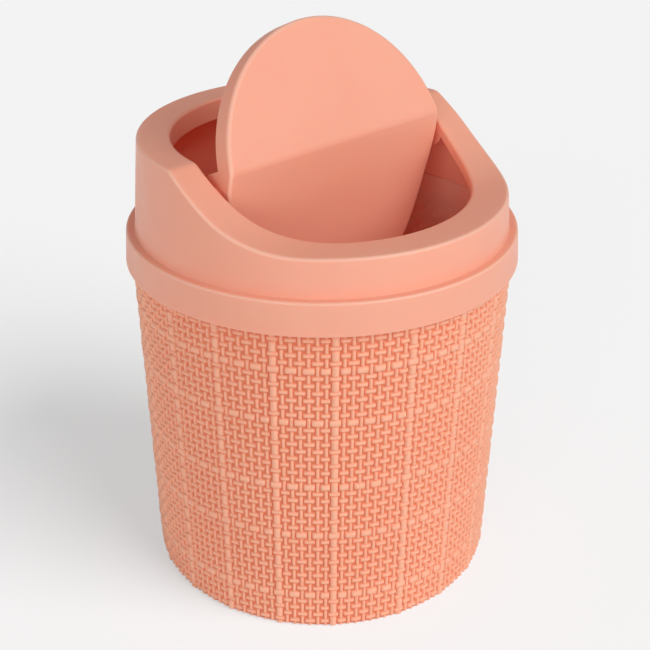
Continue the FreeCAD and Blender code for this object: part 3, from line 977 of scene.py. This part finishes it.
@dataclass
class Collar:
    """The ring on the bucket: skirt, flange, tapered wall, sloping top, lip and bearing lugs."""

    line: TopLine
    pivot: Vector
    skirt_bottom: float = 113.3 * MM
    skirt_outside: float = 65.7 * MM
    skirt_inside: float = 64.3 * MM
    skirt_root: float = 63.6 * MM
    flange_radius: float = 65.0 * MM
    flange_top: float = 124.2 * MM
    flange_bottom: float = 122.4 * MM
    base_radius: float = 62.1 * MM
    top_radius: float = 59.8 * MM
    wall: float = 1.6 * MM
    roof: float = 1.8 * MM
    mouth_radius: float = 49.0 * MM
    lip_wall: float = 1.6 * MM
    lip_depth: float = 7.5 * MM
    lip_front_depth: float = 4.0 * MM
    lip_margin: float = 0.16 * MM
    edge_round: float = 1.1 * MM
    flange_round: float = 0.9 * MM
    crisp_round: float = 0.4 * MM
    lug_face: float = 49.05 * MM
    lug_thickness: float = 1.6 * MM
    lug_half_width: float = 6.0 * MM
    lug_sunk: float = 1.0 * MM
    lug_bevel: float = 0.25 * MM
    pin_hole: float = 2.06 * MM
    steps: int = 576
    top_cells: int = 5
    widen_rounds: int = 4
    # The share of the fall to the front over which the lip grows shorter.
    lip_change: float = 1 / 3
    slot: str = "collar_plastic"

    def build(self) -> list[Piece]:
        """Make the collar's pieces.

        Returns:
            The dressed pieces.
        """
        finish = CoralPlastic("collar_coral", edge_highlighted=True)
        pieces = [self.ring(), *(self.lug(side) for side in Side)]
        return [settle(piece, Node.COLLAR, Body.COLLAR, finish) for piece in pieces]

    def cone(self, height: Array) -> Array:
        """Give the tapered wall's outer radius at heights above the base."""
        rise = (height - self.flange_top) / (self.line.level - self.flange_top)
        return self.base_radius + (self.top_radius - self.base_radius) * rise

    def ring(self) -> Piece:
        """Make the ring as if its top were level, then let the top fall to the front.

        Returns:
            The new object.
        """
        level = self.line.level
        ceiling = level - self.roof
        across = np.linspace(self.top_radius, self.mouth_radius, self.top_cells + 1)[1:-1]
        profile = Bench.outline((
            Corner(self.skirt_outside, self.skirt_bottom, self.crisp_round),
            Corner(self.flange_radius, self.flange_top, self.flange_round),
            Corner(self.base_radius, self.flange_top, self.crisp_round),
            Corner(self.top_radius, level, self.edge_round),
            *(Corner(float(radius), level) for radius in across),
            Corner(self.mouth_radius, level, self.edge_round),
            Corner(self.mouth_radius, level - self.lip_depth, self.crisp_round),
            Corner(self.mouth_radius + self.lip_wall, level - self.lip_depth, self.crisp_round),
            Corner(self.mouth_radius + self.lip_wall, ceiling, self.crisp_round),
            Corner(float(self.cone(np.array(ceiling))) - self.wall, ceiling, self.crisp_round),
            Corner(self.base_radius - self.wall, self.flange_bottom, self.crisp_round),
            Corner(self.skirt_root, self.flange_bottom, self.crisp_round),
            Corner(self.skirt_inside, self.skirt_bottom, self.crisp_round),
        ))
        piece = Bench.turned("collar_ring", profile, self.steps)
        # Painted highlight along the skirt's, the flange's and the top's outer rounded edges.
        Bench.paint_edge_highlights(piece, (
            Corner(self.skirt_outside, self.skirt_bottom, self.crisp_round),
            Corner(self.flange_radius, self.flange_top, self.flange_round),
            Corner(self.top_radius, level, self.edge_round),
        ))
        Bench.shape(piece, self.widen)
        Bench.shape(piece, self.lower)
        Bench.soften(piece, angle=35)
        return piece

    def in_top(self, places: Array) -> Array:
        """Flag the vertices of the ring, with a level top, that fall with the top."""
        return places[:, 2] > (self.flange_top + self.line.level) / 2

    def widen(self, places: Array) -> Array:
        """Widen the top to the tapered wall's radius where it will be lower.

        Args:
            places: The ring's vertices, with a level top.

        Returns:
            Their new places.
        """
        radius = np.hypot(places[:, 0], places[:, 1])
        lip_edge = self.mouth_radius + self.lip_wall
        share = np.clip((radius - lip_edge) / (self.top_radius - self.wall - lip_edge), 0, 1)
        share = np.where(self.in_top(places), share, 0)
        wider = places.copy()
        for _ in range(self.widen_rounds):
            growth = self.cone(self.line.height(wider[:, 1])) - self.top_radius
            wider[:, :2] = places[:, :2] * (1 + share * growth / radius)[:, None]
        return wider

    def lower(self, places: Array) -> Array:
        """Let the level top fall to its line.

        Args:
            places: The ring's vertices, with a level top.

        Returns:
            Their new places.
        """
        level = self.line.level
        fallen = places.copy()
        drop = level - self.line.height(places[:, 1])
        fallen[:, 2] -= np.where(self.in_top(places), drop, 0)
        lip_edge = self.mouth_radius + self.lip_wall + self.lip_margin
        in_lip = np.hypot(places[:, 0], places[:, 1]) < lip_edge
        below = np.clip((level - places[:, 2] - self.roof) / (self.lip_depth - self.roof), 0, 1)
        in_front = np.clip(drop / self.lip_change / (level - self.line.front), 0, 1)
        shorter = (self.lip_depth - self.lip_front_depth) * below * in_front
        fallen[:, 2] += np.where(self.in_top(places) & in_lip, shorter, 0)
        return fallen

    def lug(self, side: Side) -> Piece:
        """Make a bearing lug with the hole for the flap's pin.

        Args:
            side: The side that it stands on.

        Returns:
            The new object.
        """
        tab = Tab(self.line, self.pivot, self.lug_half_width, self.lug_sunk)
        outer, hole = tab.outline(), tab.circle(self.pin_hole)
        near = side.value * self.lug_face
        far = side.value * (self.lug_face + self.lug_thickness)
        loops = [at_side(near, outer), at_side(far, outer), at_side(far, hole), at_side(near, hole)]
        piece = Bench.lofted(f"bearing_lug_{side.name.lower()}", loops, Ends.JOINED)
        Bench.bevel(piece, self.lug_bevel, angle=60)
        Bench.soften(piece, angle=40)
        return piece


def at_side(x: float, outline: Array) -> Array:
    """Stand an outline, in rows of Y and Z, up at a distance X from the middle."""
    return np.column_stack((np.full(len(outline), x), outline))


@dataclass(frozen=True)
class Tab:
    """A tab that hangs from the bin's top line to a round end about the pivot."""

    line: TopLine
    pivot: Vector
    half_width: float
    sunk: float
    steps: int = 72
    longest: float = 20.0 * MM
    fine_steps: int = 2001

    def angles(self) -> Array:
        """List the directions in which the outline is drawn, seen from the pivot."""
        return np.linspace(0, math.tau, self.steps, endpoint=False)

    def circle(self, radius: float) -> Array:
        """Draw a circle about the pivot.

        Args:
            radius: Its radius.

        Returns:
            Rows of Y and Z coordinates.
        """
        y = self.pivot.y + radius * np.cos(self.angles())
        z = self.pivot.z + radius * np.sin(self.angles())
        return np.column_stack((y, z))

    def outline(self) -> Array:
        """Draw the tab, with its upper edge sunk below the top line.

        Returns:
            Rows of Y and Z coordinates.
        """
        angles = self.angles()
        reach = np.linspace(0, self.longest, self.fine_steps)
        y = self.pivot.y + reach * np.cos(angles)[:, None]
        z = self.pivot.z + reach * np.sin(angles)[:, None]
        inside = (np.abs(y - self.pivot.y) <= self.half_width) & (z < self.line.height(y) - self.sunk)
        inside &= (z > self.pivot.z) | (reach <= self.half_width)
        last = inside.sum(axis=1) - 1
        rows = np.arange(len(angles))
        return np.column_stack((y[rows, last], z[rows, last]))


@dataclass
class SwingFlap:
    """The bent round flap with its turned-down edge, and an ear, boss and pin at each side."""

    line: TopLine
    pivot: Vector
    opening: float
    radius: float = 46.5 * MM
    # How far the round of the back half is set forward.
    setback: float = 3.0 * MM
    plate: float = 1.6 * MM
    edge_wall: float = 1.6 * MM
    edge_depth: float = 6.8 * MM
    edge_margin: float = 4.0 * MM
    edge_round: float = 1.3 * MM
    crisp_round: float = 0.35 * MM
    ear_thickness: float = 2.0 * MM
    ear_half_width: float = 7.5 * MM
    ear_sunk: float = 0.9 * MM
    ear_bevel: float = 0.25 * MM
    boss_radius: float = 3.2 * MM
    boss_face: float = 48.3 * MM
    pin_radius: float = 2.0 * MM
    pin_end: float = 51.05 * MM
    pin_bevel: float = 0.3 * MM
    steps: int = 480
    slot: str = "flap_plastic"

    def build(self) -> list[Piece]:
        """Make the flap's pieces, closed, and swing them open.

        Returns:
            The dressed pieces.
        """
        finish = CoralPlastic("flap_coral", edge_highlighted=True)
        pieces = [self.bent_plate(), *(self.ear(side) for side in Side)]
        for piece in pieces:
            Bench.shape(piece, self.swing)
        return [settle(piece, Node.FLAP, Body.FLAP, finish) for piece in pieces]

    def bent_plate(self) -> Piece:
        """Make the plate flat, cut it across, and bend it to the top line.

        Returns:
            The new object.
        """
        level = self.line.level
        inside = self.radius - self.edge_wall
        profile = Bench.outline((
            Corner(inside - self.edge_margin, level),
            Corner(self.radius, level, self.edge_round),
            Corner(self.radius, level - self.edge_depth, self.crisp_round),
            Corner(inside, level - self.edge_depth, self.crisp_round),
            Corner(inside, level - self.plate, self.crisp_round),
            Corner(inside - self.edge_margin, level - self.plate),
        ), closed=False)
        piece = Bench.turned("flap_plate", profile, self.steps, closed=False)
        # Painted highlight along the plate's rounded outer edge.
        Bench.paint_edge_highlights(piece, (Corner(self.radius, level, self.edge_round),))
        Bench.shape(piece, self.set_forward)
        Bench.cut_across(piece, self.line.stations())
        Bench.shape(piece, self.bend)
        Bench.soften(piece, angle=35)
        return piece

    def set_forward(self, places: Array) -> Array:
        """Set the round of the back half forward, so that it meets the front half's at the sides.

        Args:
            places: Vertices of the round plate.

        Returns:
            Their new places.
        """
        radius = np.hypot(places[:, 0], places[:, 1])
        from_back = np.arctan2(np.abs(places[:, 0]), places[:, 1])
        in_back = from_back <= math.pi / 2
        share = 1 - np.arcsin(self.setback / 2 / radius) / (math.pi / 2)
        angle = np.where(in_back, from_back * share, math.pi - (math.pi - from_back) * share)
        across = np.sign(places[:, 0]) * radius * np.sin(angle)
        along = radius * np.cos(angle) - np.where(in_back, self.setback, 0)
        return np.column_stack((across, along, places[:, 2]))

    def side_face(self, y: Array) -> Array:
        """Give the distance from the middle to the plate's side, at places along it."""
        from_middle = np.where(y > -self.setback / 2, y + self.setback, y)
        return np.sqrt(self.radius ** 2 - from_middle ** 2)

    def bend(self, places: Array) -> Array:
        """Bend level places to the top line.

        Args:
            places: Vertices of the level plate.

        Returns:
            Their new places.
        """
        bent = places.copy()
        bent[:, 2] -= self.line.level - self.line.height(places[:, 1])
        return bent

    def ear(self, side: Side) -> Piece:
        """Make an ear with its boss and pin.

        Args:
            side: The side that it stands on.

        Returns:
            The new object.
        """
        tab = Tab(self.line, self.pivot, self.ear_half_width, self.ear_sunk)
        edge = tab.outline()
        inner = at_side(self.radius - self.ear_thickness, edge)
        outer = np.column_stack((self.side_face(edge[:, 0]), edge))
        boss, pin = tab.circle(self.boss_radius), tab.circle(self.pin_radius)
        tip = tab.circle(self.pin_radius - self.pin_bevel)
        foot = np.column_stack((self.side_face(boss[:, 0]), boss))
        loops = [inner, outer, foot, at_side(self.boss_face, boss), at_side(self.boss_face, pin)]
        loops += [at_side(self.pin_end - self.pin_bevel, pin), at_side(self.pin_end, tip)]
        mirrored = [loop * (side.value, 1, 1) for loop in loops]
        piece = Bench.lofted(f"flap_ear_{side.name.lower()}", mirrored, Ends.CAPPED)
        Bench.bevel(piece, self.ear_bevel, angle=60)
        Bench.soften(piece, angle=40)
        return piece

    def swing(self, places: Array) -> Array:
        """Swing the closed flap's vertices open about the pivot."""
        turn = np.array(Matrix.Rotation(self.opening, 3, "X"))
        return (places - np.array(self.pivot)) @ turn.T + np.array(self.pivot)


@dataclass(frozen=True)
class Softbox:
    """A broad lamp far off, placed by its turn to the camera's right and its height.

    Its spread is the angle that it fills, seen from the bin, and its light is what a white surface
    that faces it gives back. A lamp can be screened off so that it lights the floor alone.
    """

    name: str
    turn: float
    elevation: float
    spread: float
    light: float
    floor_only: bool = False


@dataclass
class Studio:
    """A pale floor, soft lamps and a camera in front of the bin, to its left."""

    azimuth: float = math.radians(-43.5)
    elevation: float = math.radians(27.41)
    roll: float = math.radians(0.10)
    distance: float = 439.32 * MM
    target: Vector = field(default_factory=lambda: Vector((0, 0, 83.64 * MM)))
    lens: float = 69.63
    sensor: float = 36.0
    shift: float = 0.0048
    floor_size: float = 40.0
    floor_matte: float = 0.40
    floor_seen: float = 0.28
    floor_glow: float = 0.49
    backdrop: float = 0.89
    bounces: int = 12
    surround: float = 0.33
    softboxes: tuple[Softbox, ...] = (
        Softbox("key_softbox", 57.0, 38.0, 45.0, 0.44),
        Softbox("low_softbox", 62.0, 5.0, 24.0, 0.11),
        Softbox("front_softbox", -18.0, 8.0, 40.0, 0.36),
        Softbox("side_softbox", -82.0, 3.0, 24.0, 0.08),
        Softbox("floor_softbox", 57.0, 38.0, 45.0, 1.25, floor_only=True),
    )

    def direction(self, turn: float, elevation: float) -> Vector:
        """Give the direction from the bin to something.

        Args:
            turn: How far it stands to the right of the camera, as an angle round the bin.
            elevation: Its angle above the floor.

        Returns:
            A unit vector.
        """
        angle = self.azimuth + turn
        level = math.cos(elevation)
        return Vector((math.sin(angle) * level, -math.cos(angle) * level, math.sin(elevation)))

    def set_up(self) -> None:
        """Lay the floor, hang the lamps and set the camera."""
        scene = bpy.context.scene
        scene.view_settings.view_transform = "Standard"
        scene.cycles.diffuse_bounces = self.bounces
        floor = self.lay_floor()
        self.light_surround()
        for softbox in self.softboxes:
            self.hang(softbox, floor)
        self.set_camera()

    def lay_floor(self) -> Piece:
        """Lay the pale floor that the bin stands on.

        Returns:
            The floor.
        """
        Bench.clear()
        bpy.ops.mesh.primitive_plane_add(size=self.floor_size, location=(0, 0, 0))
        floor = Bench.named("studio_floor")
        graph = NodeGraph("pale_floor")
        rays = graph.add("ShaderNodeLightPath")
        matte = graph.add("ShaderNodeBsdfDiffuse", Color=(*[self.floor_matte] * 3, 1.0))
        pale = graph.add("ShaderNodeBsdfDiffuse", Color=(*[self.floor_seen] * 3, 1.0))
        glow = graph.add("ShaderNodeEmission", Color=(1.0, 1.0, 1.0, 1.0), Strength=self.floor_glow)
        shown = graph.add("ShaderNodeAddShader")
        graph.feed(shown.inputs[0], pale.outputs["BSDF"])
        graph.feed(shown.inputs[1], glow.outputs["Emission"])
        looked_at = rays.outputs["Is Camera Ray"]
        for kind in ("Is Glossy Ray", "Is Transmission Ray"):
            either = graph.add("ShaderNodeMath", {"operation": "MAXIMUM"})
            graph.feed(either.inputs[0], looked_at)
            graph.feed(either.inputs[1], rays.outputs[kind])
            looked_at = either.outputs["Value"]
        seen = graph.add("ShaderNodeMixShader", Fac=looked_at)
        graph.feed(seen.inputs[1], matte.outputs["BSDF"])
        graph.feed(seen.inputs[2], shown.outputs["Shader"])
        graph.add("ShaderNodeOutputMaterial", Surface=seen.outputs["Shader"])
        floor.data.materials.append(graph.material)
        return floor

    def light_surround(self) -> None:
        """Light the bin evenly from all round, before a pale backdrop."""
        world = bpy.data.worlds.new("studio_surround")
        bpy.context.scene.world = world
        world.use_nodes = True
        tree = world.node_tree
        background = tree.nodes["Background"]
        background.inputs["Color"].default_value = (1.0, 1.0, 1.0, 1.0)
        rays = tree.nodes.new("ShaderNodeLightPath")
        strength = tree.nodes.new("ShaderNodeMapRange")
        strength.inputs["To Min"].default_value = self.surround
        strength.inputs["To Max"].default_value = self.backdrop
        tree.links.new(rays.outputs["Is Camera Ray"], strength.inputs["Value"])
        tree.links.new(strength.outputs["Result"], background.inputs["Strength"])

    def hang(self, softbox: Softbox, floor: Piece) -> None:
        """Hang a lamp so that it points at the bin.

        Args:
            softbox: The lamp.
            floor: The floor, which a screened lamp lights alone.
        """
        lamp = bpy.data.lights.new(softbox.name, "SUN")
        lamp.angle = math.radians(softbox.spread)
        lamp.energy = math.pi * softbox.light
        holder = bpy.data.objects.new(softbox.name, lamp)
        bpy.context.scene.collection.objects.link(holder)
        towards = self.direction(math.radians(softbox.turn), math.radians(softbox.elevation))
        holder.location = self.target + towards
        holder.rotation_euler = towards.to_track_quat("Z", "Y").to_euler()
        if softbox.floor_only:
            lit = bpy.data.collections.new(softbox.name)
            lit.objects.link(floor)
            holder.light_linking.receiver_collection = lit

    def set_camera(self) -> None:
        """Set the camera."""
        data = bpy.data.cameras.new("camera")
        data.lens = self.lens
        data.sensor_width = self.sensor
        data.shift_x = self.shift
        camera = bpy.data.objects.new("camera", data)
        bpy.context.scene.collection.objects.link(camera)
        back = self.direction(0.0, self.elevation)
        camera.location = self.target + back * self.distance
        turn = back.to_track_quat("Z", "Y").to_matrix() @ Matrix.Rotation(self.roll, 3, "Z")
        camera.rotation_euler = turn.to_euler()
        bpy.context.scene.camera = camera


def write_sizes() -> None:
    """Update the view layer."""
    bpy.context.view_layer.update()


def main() -> None:
    """Build and dress the bin, and set it up in the studio."""
    logging.basicConfig(level=logging.INFO, format="%(name)s: %(message)s")
    hinge = next(joint for joint in frame["joints"] if joint["name"] == "flap_swing")
    pivot = Vector(hinge["pos_m"])
    opening = -math.radians(hinge["range_deg"][0])
    line = TopLine()
    for assembly in (Bucket(), Collar(line, pivot), SwingFlap(line, pivot, opening)):
        for piece in assembly.build():
            LOG.info("%s: %d faces", piece.name, len(piece.data.polygons))
    Studio().set_up()
    write_sizes()


if __name__ == "__main__":
    main()
